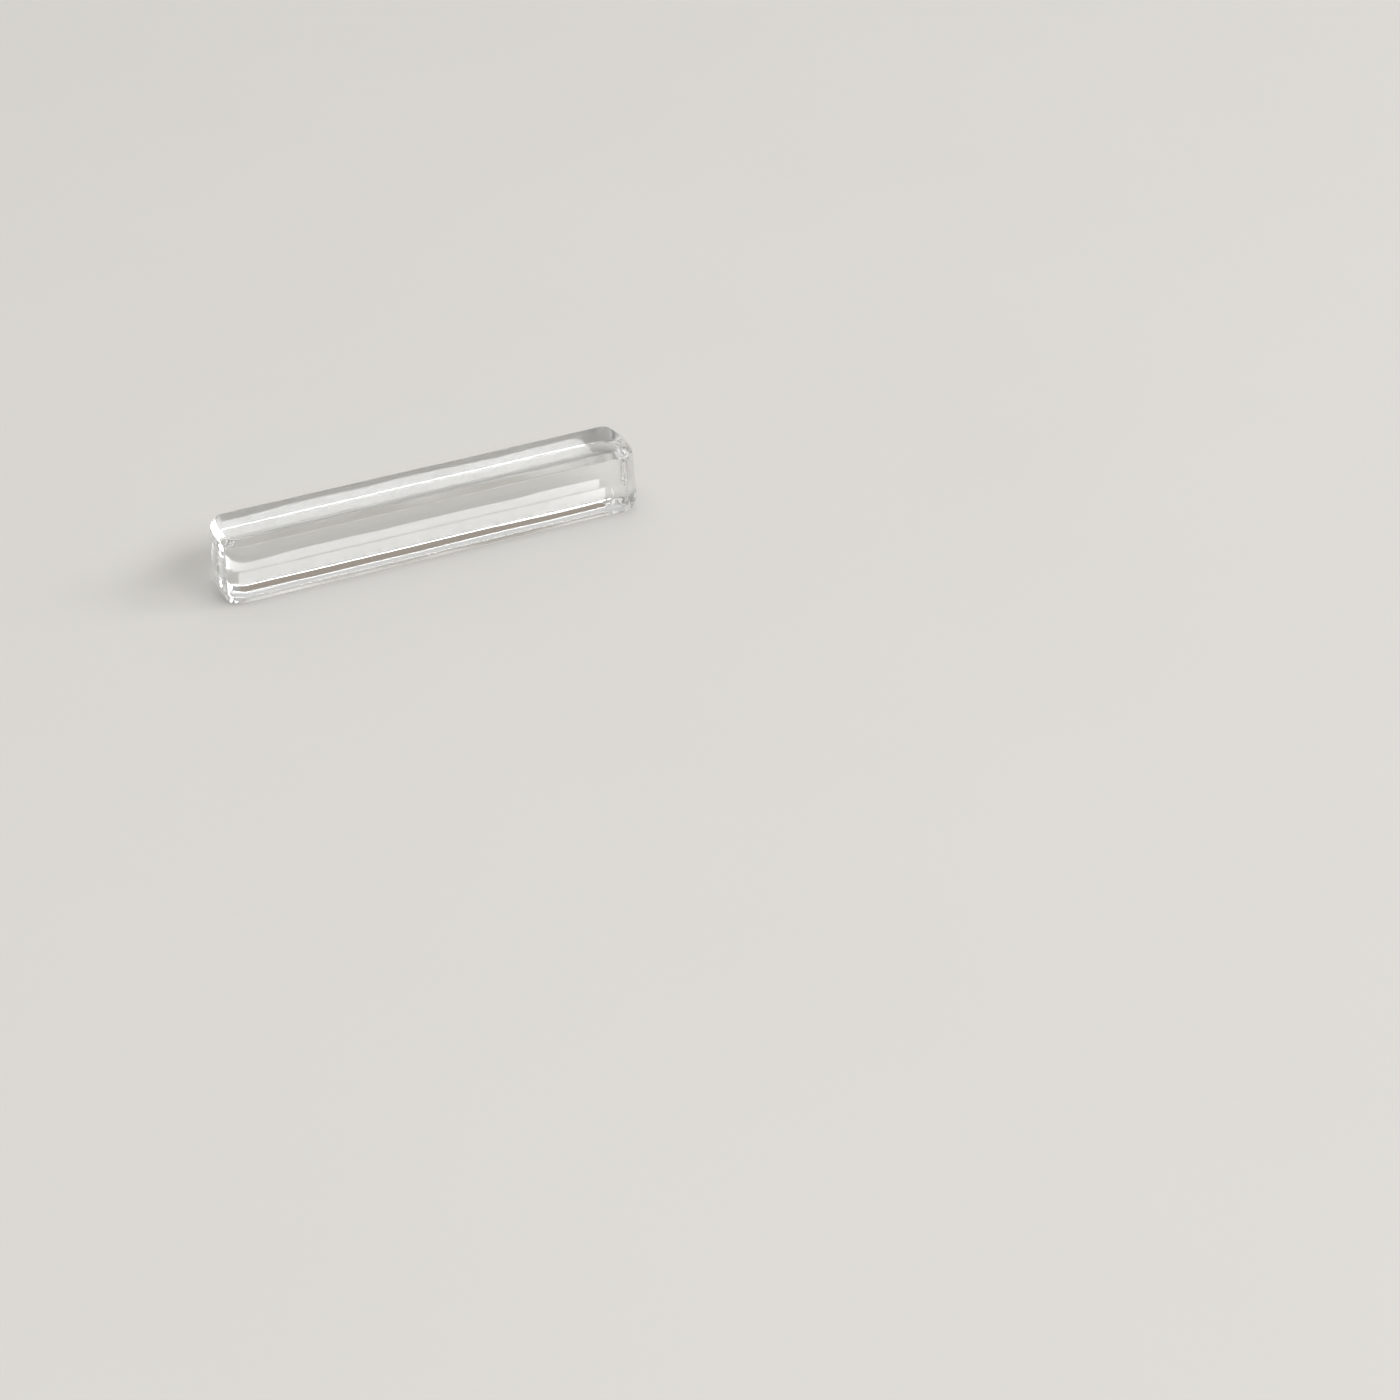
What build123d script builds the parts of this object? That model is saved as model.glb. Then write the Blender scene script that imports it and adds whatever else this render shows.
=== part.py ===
"""Knife rest: one solid bar of clear pressed glass.

The bar lies on its flat base with its length along X and its top at +Z.
The origin is the middle of the base. All sizes are in millimetres.
"""
import os

from build123d import *

# Driving dimensions
bar_length = 87.4        # end to end at the base, over the crowned ends
bar_width = 15.0         # front to back, at the base
bar_height = 14.2        # base to top
end_crown = 1.3          # how far the middle of each end stands out past its corners
corner_radius = 2.8      # rounding down the four upright corners
mould_draft = 2.4        # lean of the walls in degrees, so that the mould lets go
top_bevel = 1.25         # bevel along the edges of the top
foot_height = 2.3        # how far up the walls the bevel of the base reaches
foot_inset = 2.0         # how far in under the walls it reaches
arris_radius = 0.35      # softening that fire-polishing leaves on every arris


def plan_outline():
    """The bar seen from above: two straight sides, two crowned ends, rounded corners."""
    corner_x = bar_length / 2 - end_crown
    corner_y = bar_width / 2
    with BuildSketch() as outline:
        with BuildLine():
            Line((corner_x, corner_y), (-corner_x, corner_y))
            ThreePointArc((-corner_x, corner_y), (-bar_length / 2, 0), (-corner_x, -corner_y))
            Line((-corner_x, -corner_y), (corner_x, -corner_y))
            ThreePointArc((corner_x, -corner_y), (bar_length / 2, 0), (corner_x, corner_y))
        make_face()
        fillet(outline.vertices(), corner_radius)
    return outline.sketch


def pressed_blank():
    """The glass as it leaves the mould: the outline drawn up, narrowing slightly."""
    with BuildPart() as blank:
        add(plan_outline())
        extrude(amount=bar_height, taper=mould_draft)
    return blank.part


def bevelled(blank):
    """Flat bevels: a small one round the top, and a wider one round the base."""
    with BuildPart() as body:
        add(blank)
        chamfer(body.faces().sort_by(Axis.Z)[-1].edges(), top_bevel)
        base = body.faces().sort_by(Axis.Z)[0]
        chamfer(base.edges(), foot_inset, foot_height, reference=base)
    return body.part


def fire_polished(body):
    """The arrises that run round the bar rounded over a little, as the flame leaves them."""
    with BuildPart() as bar:
        add(body)
        arrises = bar.edges().filter_by(lambda edge: abs(edge.tangent_at(0.5).Z) < 0.1)
        fillet(arrises, arris_radius)
    return bar.part


os.makedirs("parts", exist_ok=True)
export_step(fire_polished(bevelled(pressed_blank())), "parts/glass_bar.step")
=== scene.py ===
import math

import bpy
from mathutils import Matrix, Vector


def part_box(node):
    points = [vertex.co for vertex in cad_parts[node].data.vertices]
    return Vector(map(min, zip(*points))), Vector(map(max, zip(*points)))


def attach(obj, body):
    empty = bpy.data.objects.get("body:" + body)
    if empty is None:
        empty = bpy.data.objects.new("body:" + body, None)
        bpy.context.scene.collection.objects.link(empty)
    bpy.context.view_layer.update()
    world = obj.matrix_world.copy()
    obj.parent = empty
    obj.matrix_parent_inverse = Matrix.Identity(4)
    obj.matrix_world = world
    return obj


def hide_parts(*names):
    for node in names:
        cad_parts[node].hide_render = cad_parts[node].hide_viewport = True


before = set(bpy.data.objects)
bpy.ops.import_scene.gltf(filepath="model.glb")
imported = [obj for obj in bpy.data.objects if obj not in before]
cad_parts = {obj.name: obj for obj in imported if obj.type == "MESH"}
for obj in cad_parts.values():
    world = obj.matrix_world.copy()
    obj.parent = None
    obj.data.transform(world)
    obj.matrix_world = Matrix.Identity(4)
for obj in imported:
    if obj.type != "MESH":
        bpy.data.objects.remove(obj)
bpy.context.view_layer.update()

# The bar.
# A solid bar of clear pressed glass, the whole of the knife rest. The mould gives its walls a
# slight lean and flat bevels, and the flame then softens every arris and leaves faint waves.
MM = 0.001
bar_low, bar_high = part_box("glass_bar")
bar_length = bar_high.x - bar_low.x
bar_width = bar_high.y - bar_low.y
bar_height = bar_high.z - bar_low.z
wall_lean = math.radians(2.4)
end_crown = 1.3 * MM  # how far the middle of each end stands out past its corners
crowned_stretch = 12.0 * MM  # how much of the bar the crown of each end takes up
corner_radius = 2.8 * MM
corner_facets = 8
top_bevel = 1.25 * MM
foot_height = 2.3 * MM  # how far up the walls the bevel of the base reaches
foot_inset = 2.0 * MM  # how far in under the sides it reaches
end_foot_inset = 0.6 * MM  # how far in under the ends it reaches
arris_setback = 0.175 * MM  # how far from a level arris its rounding begins
arris_facets = 3
same_level = 0.01 * MM  # heights nearer to each other than this are one level
cell = 0.8 * MM  # about how large a face of the mesh is
wave_depth = 0.11 * MM
wave_length = 13.0 * MM
glass_index = 1.5
faintest_tint = (0.985, 0.99, 0.987, 1.0)
deepest_tint = (0.97, 0.98, 0.974, 1.0)


def pick_edges(piece, wanted):
    """Selects the edges of a piece in edit mode for which wanted(a, b) is true."""
    bpy.ops.object.mode_set(mode="OBJECT")
    mesh = piece.data
    for face in mesh.polygons:
        face.select = False
    for vertex in mesh.vertices:
        vertex.select = False
    for edge in mesh.edges:
        a, b = (mesh.vertices[i].co for i in edge.vertices)
        edge.select = wanted(a, b)
        if edge.select:
            for i in edge.vertices:
                mesh.vertices[i].select = True
    bpy.ops.object.mode_set(mode="EDIT")


# The blank, from the base up. The bar is widest at the top of its foot, so the base that the
# walls start from is wider than the bar by what they lean in over that height.
foot_lean = foot_height * math.tan(wall_lean)
blank_length = bar_length + 2 * foot_lean
blank_width = bar_width + 2 * foot_lean
blank_size = (blank_length, blank_width, bar_height)
bpy.ops.object.select_all(action="DESELECT")
bpy.ops.mesh.primitive_cube_add(size=1, location=(0, 0, bar_height / 2), scale=blank_size)
bar = bpy.context.object
bar.name = "pressed_bar"
bpy.ops.object.transform_apply(location=True, rotation=True, scale=True)
full_lean = bar_height * math.tan(wall_lean)
for vertex in bar.data.vertices:
    if vertex.co.z > bar_height / 2:
        vertex.co.x -= math.copysign(full_lean, vertex.co.x)
        vertex.co.y -= math.copysign(full_lean, vertex.co.y)

# The upright corners rounded, the rim of the top bevelled, and the base drawn in to its foot,
# less far at the ends than along the sides. Then every level arris is softened.
bpy.ops.object.mode_set(mode="EDIT")
bpy.ops.mesh.select_mode(type="EDGE")
pick_edges(bar, lambda a, b: abs(a.z - b.z) > bar_height / 2)
bpy.ops.mesh.bevel(offset=corner_radius, segments=corner_facets, affect="EDGES")
pick_edges(bar, lambda a, b: min(a.z, b.z) > bar_height - same_level)
bpy.ops.mesh.bevel(offset=top_bevel, segments=1, affect="EDGES")
bpy.ops.mesh.select_all(action="SELECT")
bpy.ops.mesh.bisect(plane_co=(0, 0, foot_height), plane_no=(0, 0, 1))
pick_edges(bar, lambda a, b: max(a.z, b.z) < same_level)
narrowing = (1 - 2 * end_foot_inset / blank_length, 1 - 2 * foot_inset / blank_width, 1)
bpy.ops.transform.resize(value=narrowing)
pick_edges(bar, lambda a, b: abs(a.z - b.z) < same_level)
bpy.ops.mesh.bevel(offset=arris_setback, segments=arris_facets, affect="EDGES")

# Cut all through into cells, small enough for the crowned ends and the waves.
for axis, span in enumerate((bar_length, bar_width, bar_height)):
    count = round(span / cell)
    for i in range(1, count):
        cut_place = [0.0, 0.0, bar_height / 2]
        cut_place[axis] += (i / count - 0.5) * span
        cut_normal = [0.0, 0.0, 0.0]
        cut_normal[axis] = 1.0
        bpy.ops.mesh.select_all(action="SELECT")
        bpy.ops.mesh.bisect(plane_co=cut_place, plane_no=cut_normal)
bpy.ops.object.mode_set(mode="OBJECT")

# The ends crowned: their corners are drawn back, and the middle of each end stays where it is.
for vertex in bar.data.vertices:
    reach = max(0.0, abs(vertex.co.x) - bar_length / 2 + crowned_stretch) / crowned_stretch
    sideways = 2 * vertex.co.y / bar_width
    vertex.co.x -= math.copysign(end_crown * reach * sideways ** 2, vertex.co.x)

# The waves, which only go inward.
ripple = bpy.data.textures.new("pressing_waves", "CLOUDS")
ripple.noise_scale = wave_length
ripple.noise_depth = 0
waves = bar.modifiers.new("pressing_waves", "DISPLACE")
waves.texture = ripple
waves.texture_coords = "LOCAL"
waves.direction = "NORMAL"
waves.mid_level = 1.0
waves.strength = wave_depth
bpy.ops.object.modifier_apply(modifier=waves.name)

# Shaded by its large faces, so that the flats look flat and only the arrises look round.
bpy.ops.object.shade_smooth()
even = bar.modifiers.new("even_faces", "WEIGHTED_NORMAL")
even.keep_sharp = False
even.weight = 100
bpy.ops.object.modifier_apply(modifier=even.name)


def noise_over(tree, scale, detail, stretch=(1.0, 1.0, 1.0)):
    """Noise over a piece, the finer the larger scale is. A stretch under 1 draws it out."""
    place = tree.nodes.new("ShaderNodeTexCoord")
    drawn = tree.nodes.new("ShaderNodeMapping")
    drawn.inputs["Scale"].default_value = stretch
    tree.links.new(place.outputs["Object"], drawn.inputs["Vector"])
    noise = tree.nodes.new("ShaderNodeTexNoise")
    noise.inputs["Scale"].default_value = scale
    noise.inputs["Detail"].default_value = detail
    tree.links.new(drawn.outputs["Vector"], noise.inputs["Vector"])
    return noise.outputs["Fac"]


def rise(tree, value, low, high, top=1.0):
    """Goes smoothly from 0 to top as value goes from low to high."""
    slope = tree.nodes.new("ShaderNodeMapRange")
    slope.interpolation_type = "SMOOTHSTEP"
    slope.inputs["From Min"].default_value = low
    slope.inputs["From Max"].default_value = high
    slope.inputs["To Max"].default_value = top
    tree.links.new(value, slope.inputs["Value"])
    return slope.outputs["Result"]


def blend(tree, share, first, second):
    """A colour that goes from first to second as share goes from 0 to 1."""
    mix = tree.nodes.new("ShaderNodeMix")
    mix.data_type = "RGBA"
    # The node keeps its sockets for numbers and vectors too, so those for colours go by place.
    share_in, first_in, second_in, mixed = mix.inputs[0], mix.inputs[6], mix.inputs[7], mix.outputs[2]
    tree.links.new(share, share_in)
    if isinstance(first, bpy.types.NodeSocket):
        tree.links.new(first, first_in)
    else:
        first_in.default_value = first
    second_in.default_value = second
    return mixed


# The glass: a faint uneven tint, a few smears, hair scratches along the bar, and the skin that
# the cold mould leaves.
glass = bpy.data.materials.new("clear_glass")
glass.use_nodes = True
glass_tree = glass.node_tree
glass_shader = glass_tree.nodes["Principled BSDF"]
glass_shader.inputs["IOR"].default_value = glass_index
glass_shader.inputs["Transmission Weight"].default_value = 1.0

tint = blend(glass_tree, noise_over(glass_tree, scale=60.0, detail=1.0), faintest_tint, deepest_tint)
glass_tree.links.new(tint, glass_shader.inputs["Base Color"])

smear_noise = noise_over(glass_tree, scale=120.0, detail=2.0)
smears = rise(glass_tree, smear_noise, low=0.58, high=0.78, top=0.03)
scratch_noise = noise_over(glass_tree, scale=900.0, detail=2.0, stretch=(0.07, 1.0, 1.0))
scratches = rise(glass_tree, scratch_noise, low=0.70, high=0.78, top=0.10)
wear = glass_tree.nodes.new("ShaderNodeMath")
wear.operation = "MAXIMUM"
glass_tree.links.new(smears, wear.inputs[0])
glass_tree.links.new(scratches, wear.inputs[1])
glass_tree.links.new(wear.outputs["Value"], glass_shader.inputs["Roughness"])

chill = glass_tree.nodes.new("ShaderNodeBump")
chill.inputs["Strength"].default_value = 0.25
chill.inputs["Distance"].default_value = 0.01 * MM
glass_tree.links.new(noise_over(glass_tree, scale=350.0, detail=1.0), chill.inputs["Height"])
glass_tree.links.new(chill.outputs["Normal"], glass_shader.inputs["Normal"])

bar.data.materials.append(glass)
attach(bar, "root")
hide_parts("glass_bar")

# The floor.
# A plain pale surface, warm and matt, on which the bar lies. It is not part of the object. A
# gap of a hair's breadth under the bar keeps the two from sharing a plane.
floor_size = 8.0
floor_gap = 0.03 * MM
floor_pale = (0.755, 0.743, 0.72, 1.0)
floor_deep = (0.735, 0.722, 0.698, 1.0)
bpy.ops.object.select_all(action="DESELECT")
bpy.ops.mesh.primitive_plane_add(size=floor_size, location=(0, 0, -floor_gap))
floor = bpy.context.object
floor.name = "pale_floor"
pale = bpy.data.materials.new("pale_floor")
pale.use_nodes = True
pale_tree = pale.node_tree
pale_shader = pale_tree.nodes["Principled BSDF"]
pale_shader.inputs["Roughness"].default_value = 0.9
pale_shader.inputs["Specular IOR Level"].default_value = 0.1
mottle = blend(pale_tree, noise_over(pale_tree, scale=12.0, detail=4.0), floor_pale, floor_deep)
pale_tree.links.new(mottle, pale_shader.inputs["Base Color"])
floor.data.materials.append(pale)

# The light.
# Two soft windows, in front and to the right, in a grey room with a bright ceiling. A compass
# direction is counted in degrees from +Y towards +X, and a height in degrees up from the floor.
window_distance = 4.0
windows = (
    # name, compass, height, metres across, metres high, brightness of the pane
    ("front_window", 152, 37, 2.7, 1.4, 6.5),
    ("right_window", 112, 29, 1.6, 1.6, 5.0),
)
wall_colour = (0.39, 0.386, 0.378, 1.0)
patches = (
    # compass, height, degrees from there at which it begins and at which it is full, colour
    (20, 28, 41, 8, (0.64, 0.64, 0.63, 1.0)),  # the pale wall behind the bar
    (-85, 30, 41, 14, (0.22, 0.22, 0.21, 1.0)),  # the dim side on the left
    (0, 90, 37, 0, (1.30, 1.28, 1.24, 1.0)),  # the ceiling
    (144, 61, 13, 7, (0.33, 0.285, 0.245, 1.0)),  # a brown beam over the front window
)


def towards(compass, height):
    """The unit vector that points to a compass direction and a height, both in degrees."""
    flat = math.cos(math.radians(height))
    turn = math.radians(compass)
    return Vector((math.sin(turn) * flat, math.cos(turn) * flat, math.sin(math.radians(height))))


for name, compass, height, across, high, brightness in windows:
    window = bpy.data.lights.new(name, "AREA")
    window.shape = "RECTANGLE"
    window.size = across
    window.size_y = high
    window.energy = brightness * math.pi * across * high
    window_object = bpy.data.objects.new(name, window)
    bpy.context.scene.collection.objects.link(window_object)
    window_object.location = towards(compass, height) * window_distance
    window_object.rotation_euler = (-window_object.location).to_track_quat("-Z", "Y").to_euler()

room = bpy.data.worlds.new("room")
bpy.context.scene.world = room
room.use_nodes = True
room_tree = room.node_tree
room_place = room_tree.nodes.new("ShaderNodeTexCoord")
room_colour = wall_colour
for compass, height, begins, full, colour in patches:
    nearness = room_tree.nodes.new("ShaderNodeVectorMath")
    nearness.operation = "DOT_PRODUCT"
    nearness.inputs[1].default_value = towards(compass, height)
    room_tree.links.new(room_place.outputs["Generated"], nearness.inputs[0])
    edge, middle = math.cos(math.radians(begins)), math.cos(math.radians(full))
    share = rise(room_tree, nearness.outputs["Value"], low=edge, high=middle)
    room_colour = blend(room_tree, share, room_colour, colour)
room_tree.links.new(room_colour, room_tree.nodes["Background"].inputs["Color"])

# The camera.
# It stands nearly 0.6 m from the bar, in front of it and to its left, and looks down on it at
# 33 degrees. Light crosses the glass many times, and too few bounces would leave black spots.
camera_place = Vector((-157.1, -479.4, 288.1)) * MM
camera_turn = (math.radians(56.927), math.radians(1.048), math.radians(-24.871))
bounces = 32
camera = bpy.data.cameras.new("camera")
camera.sensor_width = 36.0
camera.lens = 74.57
camera.clip_start = 0.01
camera_object = bpy.data.objects.new("camera", camera)
bpy.context.scene.collection.objects.link(camera_object)
camera_object.location = camera_place
camera_object.rotation_euler = camera_turn
bpy.context.scene.camera = camera_object
bpy.context.scene.view_settings.view_transform = "Standard"
bpy.context.scene.cycles.max_bounces = bounces
bpy.context.scene.cycles.glossy_bounces = bounces
bpy.context.scene.cycles.transmission_bounces = bounces
